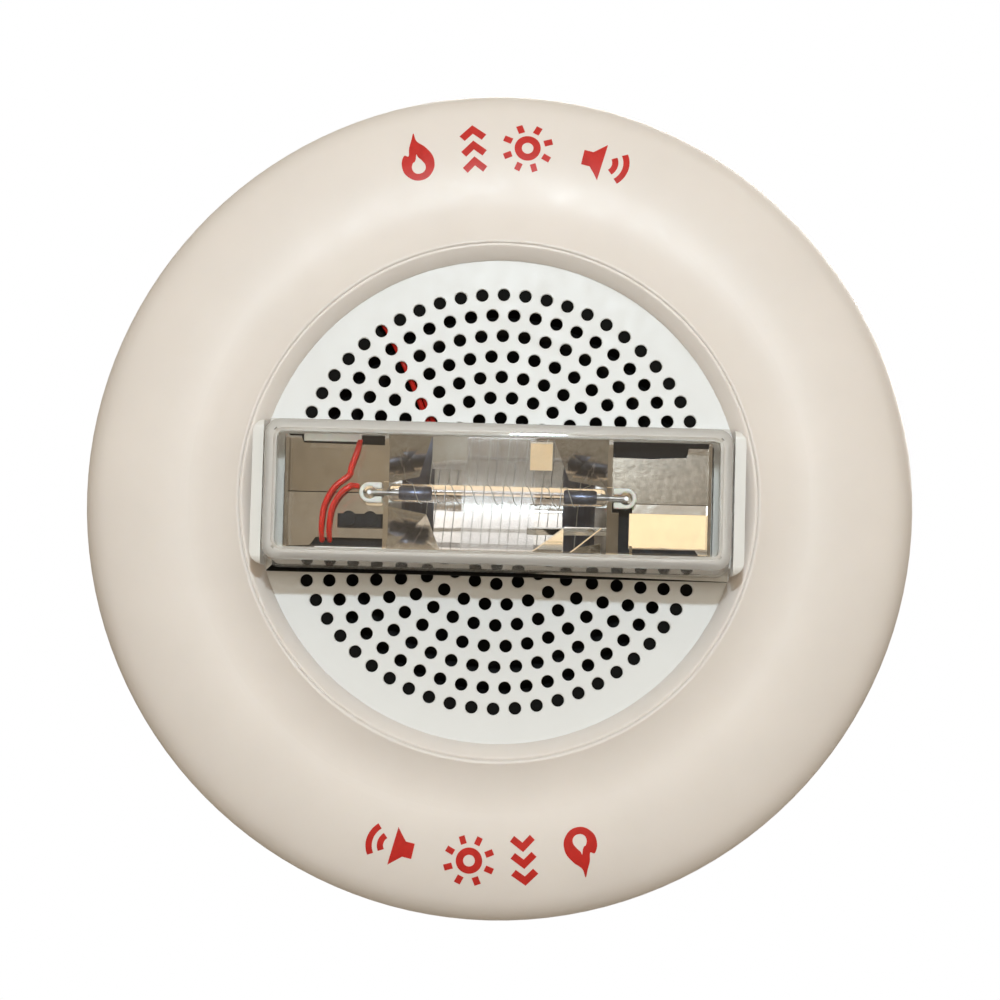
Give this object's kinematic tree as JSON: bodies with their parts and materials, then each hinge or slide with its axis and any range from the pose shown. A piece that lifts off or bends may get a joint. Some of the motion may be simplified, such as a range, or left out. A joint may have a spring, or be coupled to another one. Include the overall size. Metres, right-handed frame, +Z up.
{
  "type": "speaker strobe",
  "caption": "Round wall or ceiling speaker strobe: domed bezel, perforated grille over a loudspeaker, and a clear strobe bar across the middle",
  "frame": {"origin": "centre of the four double-gang screw slots, on the plane of the wall behind the mounting plate", "axes": "+X to the right as you face the strobe, +Y into the wall, +Z up; the strobe faces -Y"},
  "size_m": [0.2032, 0.0962, 0.2032],
  "materials": {
    "zinc_steel": "zinc plated",
    "ivory_abs": "moulded ABS, fine matt texture",
    "white_paint": "white powder coat on sheet steel",
    "white_plastic": "moulded, satin",
    "black_plastic": "moulded, glass filled",
    "clear_plastic": "clear polycarbonate, polished",
    "mirror_metal": "vacuum metallised plastic",
    "tube_glass": "clear quartz tube",
    "foam_black": "black foam or soft rubber",
    "black_steel": "black painted steel",
    "plain_steel": "plated steel",
    "ferrite": "sintered ferrite",
    "cone_paper": "black pressed paper",
    "spider_cloth": "resin treated cloth",
    "copper": "copper wire",
    "former_paper": "brown paper former",
    "lamination": "stacked silicon steel",
    "yellow_tape": "polyester tape",
    "circuit_board": "green solder mask",
    "gold_pins": "gold flashed",
    "switch_blue": "moulded",
    "black_wire": "PVC insulation",
    "yellow_wire": "PVC insulation",
    "red_wire": "PVC insulation",
    "component_black": "epoxy and sleeved cans",
    "component_red": "dipped film capacitor"
  },
  "bodies": {
    "plate": {"mounting_plate": "zinc_steel", "retaining_clips": "plain_steel", "terminal_block_left": "black_plastic", "terminal_block_right": "black_plastic", "terminal_clamps": "zinc_steel", "terminal_screws": "zinc_steel", "terminal_sockets": "gold_pins"},
    "front": {"bezel": "ivory_abs", "grille": "white_paint", "chassis": "black_plastic", "chassis_screws": "zinc_steel", "wire_grommet": "foam_black", "speaker_frame": "black_steel", "speaker_gasket": "foam_black", "speaker_screws": "zinc_steel", "speaker_terminals": "zinc_steel", "tinsel_leads": "copper", "surround": "foam_black", "spider": "spider_cloth", "top_plate": "plain_steel", "magnet": "ferrite", "pole_yoke": "plain_steel", "transformer_bracket": "plain_steel", "transformer_core": "lamination", "transformer_bobbin": "white_plastic", "transformer_winding": "yellow_tape", "bracket_screws": "zinc_steel", "audio_leads_black": "black_wire", "audio_leads_yellow": "yellow_wire", "rear_board": "circuit_board", "board_screws": "zinc_steel", "pin_header": "black_plastic", "header_pins": "gold_pins", "candela_switch": "switch_blue", "power_switch": "switch_blue", "voltage_switch": "black_plastic", "blocking_capacitor": "component_red", "rear_components": "component_black", "strobe_base": "white_plastic", "strobe_gasket": "foam_black", "strobe_screws": "zinc_steel", "strobe_lens": "clear_plastic", "reflector": "mirror_metal", "flash_tube": "tube_glass", "tube_electrodes": "plain_steel", "trigger_wire": "plain_steel", "trigger_leads": "red_wire", "strobe_board": "circuit_board", "flash_capacitor": "component_black", "trigger_transformer": "yellow_tape", "strobe_components": "component_black", "strobe_leads": "red_wire"},
    "cone_assembly": {"cone": "cone_paper", "dust_cap": "cone_paper", "coil_former": "former_paper", "voice_coil": "copper"},
    "candela_selector": {"candela_dial": "white_plastic"},
    "power_selector": {"power_dial": "white_plastic"},
    "voltage_selector": {"voltage_slider": "white_plastic"}
  },
  "joints": [
    {"name": "front_pull_off", "type": "slide", "parent": "plate", "child": "front", "axis": [0, -1, 0], "range_m": [0, 0.015]},
    {"name": "cone_travel", "type": "slide", "parent": "front", "child": "cone_assembly", "axis": [0, -1, 0], "range_m": [-0.0015, 0.0015], "stiffness_N_per_m": 1000, "deforming": ["surround", "spider", "tinsel_leads"]},
    {"name": "candela_turn", "type": "hinge", "parent": "front", "child": "candela_selector", "pos_m": [-0.0495, -0.0074, -0.0495], "axis": [0, 1, 0], "range_deg": [0, 270]},
    {"name": "power_turn", "type": "hinge", "parent": "front", "child": "power_selector", "pos_m": [0.0495, -0.0074, -0.0495], "axis": [0, 1, 0], "range_deg": [0, 270]},
    {"name": "voltage_slide", "type": "slide", "parent": "front", "child": "voltage_selector", "axis": [1, 0, 0], "range_m": [0, 0.002]}
  ]
}
